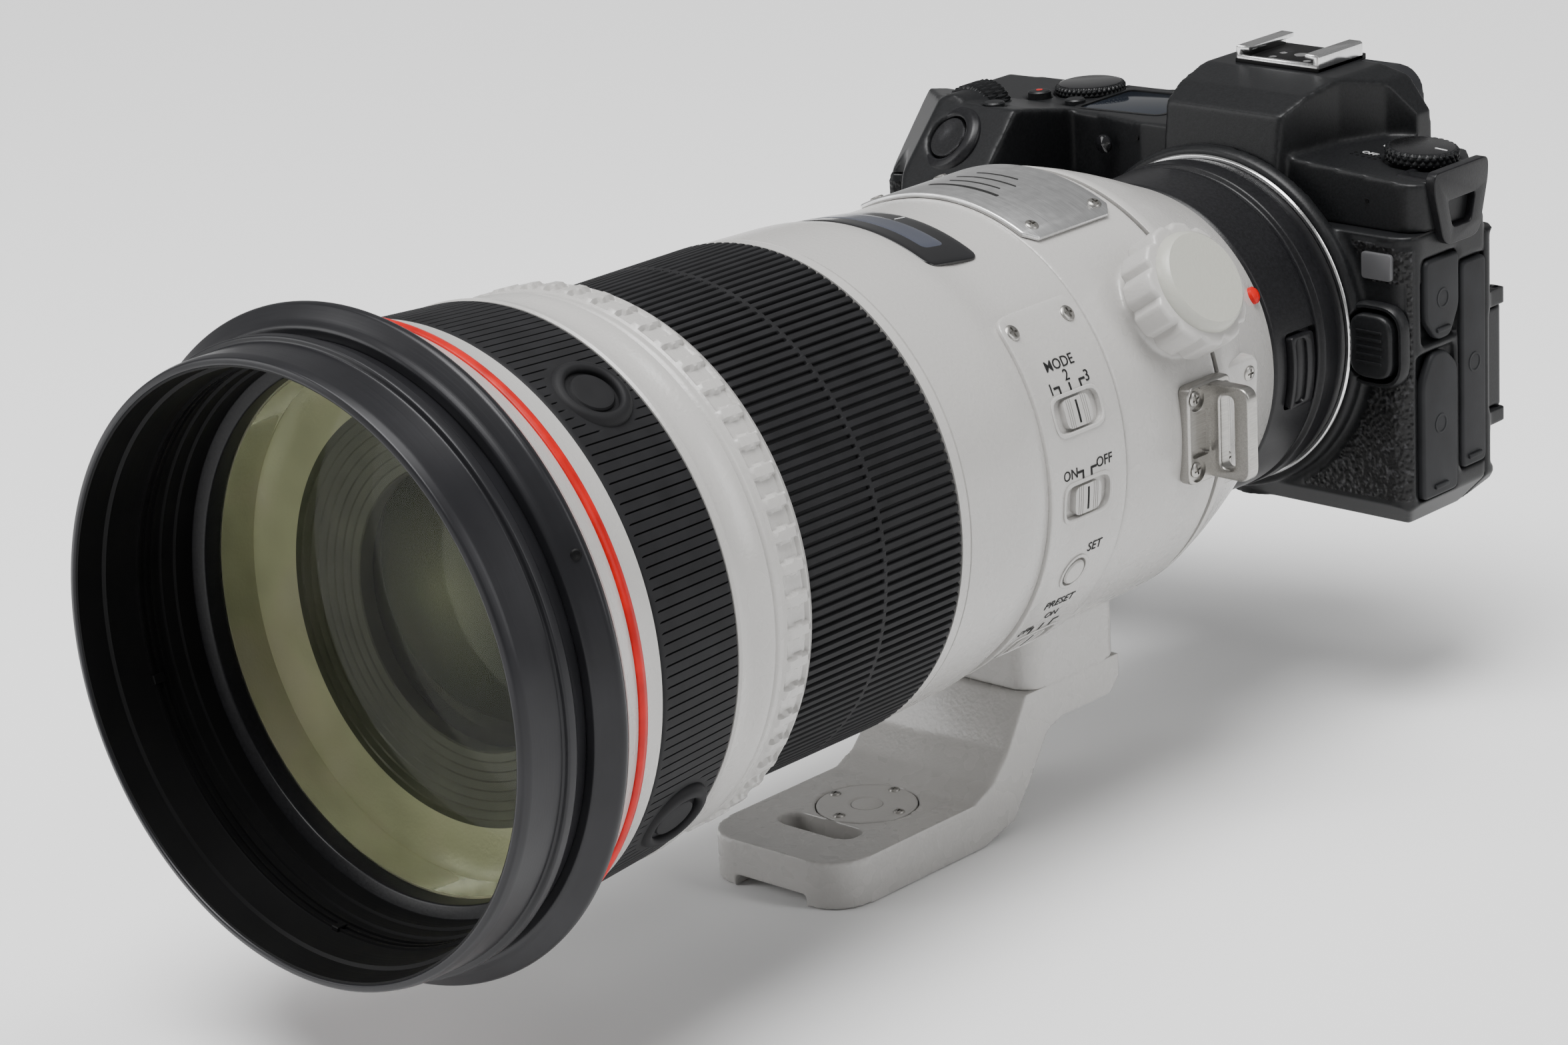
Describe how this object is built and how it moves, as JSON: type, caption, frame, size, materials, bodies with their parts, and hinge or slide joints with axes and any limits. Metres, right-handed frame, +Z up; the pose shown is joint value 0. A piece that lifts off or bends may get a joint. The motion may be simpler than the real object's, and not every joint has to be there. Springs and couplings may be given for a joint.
{
  "type": "mirrorless camera with a telephoto lens",
  "caption": "Mirrorless camera with a mount adapter and a white super-telephoto prime lens standing on its tripod collar foot, with working rings, dials, buttons, covers and swing-out screen.",
  "frame": {"origin": "mouth of the tripod socket in the flat underside of the lens foot", "axes": "+Z up, -Y the way the lens looks, +X the camera's own left (port) side"},
  "size_m": [0.15, 0.3216, 0.1475],
  "materials": {
    "body_plastic": "satin",
    "black_metal": "satin",
    "grey_plastic": "satin",
    "black_rubber": "matte",
    "battery_case": "satin",
    "white_paint": "satin",
    "steel": "satin",
    "gloss_black": "gloss",
    "lens_glass": "gloss",
    "plate_alu": "satin",
    "display": "gloss",
    "cell_metal": "matte"
  },
  "bodies": {
    "collar": {"collar_ring": "white_paint", "foot": "white_paint", "socket_plate": "steel", "strap_lugs": "steel", "collar_screws": "steel", "name_plate": "plate_alu"},
    "lock_knob": {"lock_knob": "grey_plastic"},
    "lens_and_camera": {"front_ring": "black_metal", "front_flange": "black_metal", "front_barrel": "white_paint", "front_grip": "black_rubber", "mid_barrel": "white_paint", "distance_window": "gloss_black", "switch_panel": "grey_plastic", "rear_barrel": "white_paint", "lens_mount": "steel", "front_glass": "lens_glass", "rear_glass": "lens_glass", "lens_screws": "steel", "adapter_shell": "black_metal", "body_shell": "body_plastic", "top_cover": "body_plastic", "rear_cover": "body_plastic", "mount_ring": "steel", "hot_shoe": "steel", "top_display": "display", "battery": "battery_case", "sensor_unit": "cell_metal", "eyecup": "black_rubber"},
    "playback_ring": {"playback_ring": "grey_plastic"},
    "focus_ring": {"focus_ring": "black_rubber", "focus_sleeve": "black_metal"},
    "focus_cell": {"focus_cell": "lens_glass"},
    "screen": {"screen_arm": "body_plastic", "rear_screen": "display"},
    "af_stop_button_1": {"af_stop_button_1": "black_rubber"},
    "af_stop_button_2": {"af_stop_button_2": "black_rubber"},
    "af_stop_button_3": {"af_stop_button_3": "black_rubber"},
    "af_stop_button_4": {"af_stop_button_4": "black_rubber"},
    "mode_switch": {"mode_switch": "grey_plastic"},
    "stabilizer_switch": {"stabilizer_switch": "grey_plastic"},
    "preset_switch": {"preset_switch": "grey_plastic"},
    "af_mf_switch": {"af_mf_switch": "grey_plastic"},
    "set_button": {"set_button": "grey_plastic"},
    "filter_holder": {"filter_holder": "white_paint"},
    "adapter_release": {"adapter_release": "body_plastic"},
    "shutter_button": {"shutter_button": "black_metal"},
    "front_dial": {"front_dial": "black_rubber"},
    "rear_dial": {"rear_dial": "black_metal"},
    "power_dial": {"power_dial": "black_metal"},
    "mfn_button": {"mfn_button": "gloss_black"},
    "record_button": {"record_button": "gloss_black"},
    "lamp_button": {"lamp_button": "gloss_black"},
    "lens_release": {"lens_release": "body_plastic"},
    "remote_cover": {"remote_cover": "black_rubber"},
    "mic_cover": {"mic_cover": "black_rubber"},
    "usb_cover": {"usb_cover": "black_rubber"},
    "battery_door": {"battery_door": "body_plastic"},
    "card_door": {"card_door": "body_plastic"},
    "rear_pad": {"rear_pad": "gloss_black"}
  },
  "joints": [
    {"name": "collar_rotation", "type": "hinge", "parent": "collar", "child": "lens_and_camera", "pos_m": [0, 0, 0.0835], "axis": [0, 1, 0], "continuous": true},
    {"name": "lock_knob_turn", "type": "hinge", "parent": "collar", "child": "lock_knob", "pos_m": [0.04126, 0.0514, 0.1103], "axis": [0.8387, 0, 0.5446], "range_deg": [0, 180]},
    {"name": "af_stop_1_press", "type": "slide", "parent": "lens_and_camera", "child": "af_stop_button_1", "axis": [-0.5736, 0, -0.8192], "range_m": [0, 0.0008], "stiffness_N_per_m": 300},
    {"name": "af_stop_2_press", "type": "slide", "parent": "lens_and_camera", "child": "af_stop_button_2", "axis": [-0.8192, 0, 0.5736], "range_m": [0, 0.0008], "stiffness_N_per_m": 300},
    {"name": "af_stop_3_press", "type": "slide", "parent": "lens_and_camera", "child": "af_stop_button_3", "axis": [0.5736, 0, 0.8192], "range_m": [0, 0.0008], "stiffness_N_per_m": 300},
    {"name": "af_stop_4_press", "type": "slide", "parent": "lens_and_camera", "child": "af_stop_button_4", "axis": [0.8192, 0, -0.5736], "range_m": [0, 0.0008], "stiffness_N_per_m": 300},
    {"name": "playback_turn", "type": "hinge", "parent": "lens_and_camera", "child": "playback_ring", "pos_m": [0, 0, 0.0835], "axis": [0, 1, 0], "range_deg": [-8, 8], "stiffness_Nm_per_rad": 0.6},
    {"name": "focus_turn", "type": "hinge", "parent": "lens_and_camera", "child": "focus_ring", "pos_m": [0, 0, 0.0835], "axis": [0, 1, 0], "range_deg": [-60, 90]},
    {"name": "focus_shift", "type": "slide", "parent": "lens_and_camera", "child": "focus_cell", "axis": [0, 1, 0], "range_m": [-0.0052, 0.0076]},
    {"name": "mode_select", "type": "slide", "parent": "lens_and_camera", "child": "mode_switch", "axis": [0, 1, 0], "range_m": [-0.0024, 0.0024]},
    {"name": "stabilizer_select", "type": "slide", "parent": "lens_and_camera", "child": "stabilizer_switch", "axis": [0, 1, 0], "range_m": [-0.0024, 0.0024]},
    {"name": "preset_select", "type": "slide", "parent": "lens_and_camera", "child": "preset_switch", "axis": [0, 1, 0], "range_m": [-0.0024, 0.0024]},
    {"name": "af_mf_select", "type": "slide", "parent": "lens_and_camera", "child": "af_mf_switch", "axis": [0, 1, 0], "range_m": [-0.0015, 0.0015]},
    {"name": "set_press", "type": "slide", "parent": "lens_and_camera", "child": "set_button", "axis": [-0.91, 0, 0.4147], "range_m": [0, 0.0006], "stiffness_N_per_m": 300},
    {"name": "filter_slide", "type": "slide", "parent": "lens_and_camera", "child": "filter_holder", "axis": [-1, 0, 0], "range_m": [0, 0.078]},
    {"name": "adapter_release_slide", "type": "slide", "parent": "lens_and_camera", "child": "adapter_release", "axis": [0, 1, 0], "range_m": [0, 0.002], "stiffness_N_per_m": 300},
    {"name": "shutter_press", "type": "slide", "parent": "lens_and_camera", "child": "shutter_button", "axis": [0.1709, 0.7536, -0.6347], "range_m": [0, 0.0009], "stiffness_N_per_m": 300},
    {"name": "front_dial_turn", "type": "hinge", "parent": "lens_and_camera", "child": "front_dial", "pos_m": [-0.067, 0.1234, 0.1203], "axis": [0, 1, 0], "continuous": true},
    {"name": "rear_dial_turn", "type": "hinge", "parent": "lens_and_camera", "child": "rear_dial", "pos_m": [-0.056, 0.1495, 0.121], "axis": [0, 0, 1], "continuous": true},
    {"name": "power_dial_turn", "type": "hinge", "parent": "lens_and_camera", "child": "power_dial", "pos_m": [0.038, 0.144, 0.119], "axis": [0, 0, 1], "range_deg": [0, 60]},
    {"name": "mfn_press", "type": "slide", "parent": "lens_and_camera", "child": "mfn_button", "axis": [0, 0, -1], "range_m": [0, 0.0006], "stiffness_N_per_m": 300},
    {"name": "record_press", "type": "slide", "parent": "lens_and_camera", "child": "record_button", "axis": [0, 0, -1], "range_m": [0, 0.0006], "stiffness_N_per_m": 300},
    {"name": "lamp_press", "type": "slide", "parent": "lens_and_camera", "child": "lamp_button", "axis": [0, 0, -1], "range_m": [0, 0.0006], "stiffness_N_per_m": 300},
    {"name": "lens_release_press", "type": "slide", "parent": "lens_and_camera", "child": "lens_release", "axis": [0, 1, 0], "range_m": [0, 0.0015], "stiffness_N_per_m": 300},
    {"name": "remote_cover_open", "type": "hinge", "parent": "lens_and_camera", "child": "remote_cover", "pos_m": [0.0484, 0.129, 0.092], "axis": [0, 0, -1], "range_deg": [0, 110]},
    {"name": "mic_cover_open", "type": "hinge", "parent": "lens_and_camera", "child": "mic_cover", "pos_m": [0.0484, 0.1278, 0.0645], "axis": [0, 0, -1], "range_deg": [0, 110]},
    {"name": "usb_cover_open", "type": "hinge", "parent": "lens_and_camera", "child": "usb_cover", "pos_m": [0.0484, 0.1426, 0.075], "axis": [0, 0, -1], "range_deg": [0, 110]},
    {"name": "screen_swing", "type": "hinge", "parent": "lens_and_camera", "child": "screen", "pos_m": [0.0462, 0.1584, 0.073], "axis": [0, 0, -1], "range_deg": [0, 175]},
    {"name": "battery_door_open", "type": "hinge", "parent": "lens_and_camera", "child": "battery_door", "pos_m": [-0.0755, 0.129, 0.0417], "axis": [0, 1, 0], "range_deg": [0, 90]},
    {"name": "card_door_open", "type": "hinge", "parent": "lens_and_camera", "child": "card_door", "pos_m": [-0.0851, 0.1471, 0.08], "axis": [0, 0, -1], "range_deg": [0, 100]},
    {"name": "rear_pad_turn", "type": "hinge", "parent": "lens_and_camera", "child": "rear_pad", "pos_m": [-0.064, 0.158, 0.076], "axis": [0, 1, 0], "continuous": true}
  ],
  "couplings": [
    {"joint": "focus_shift", "follows": "focus_turn", "m_per_rad": 0.00458}
  ]
}
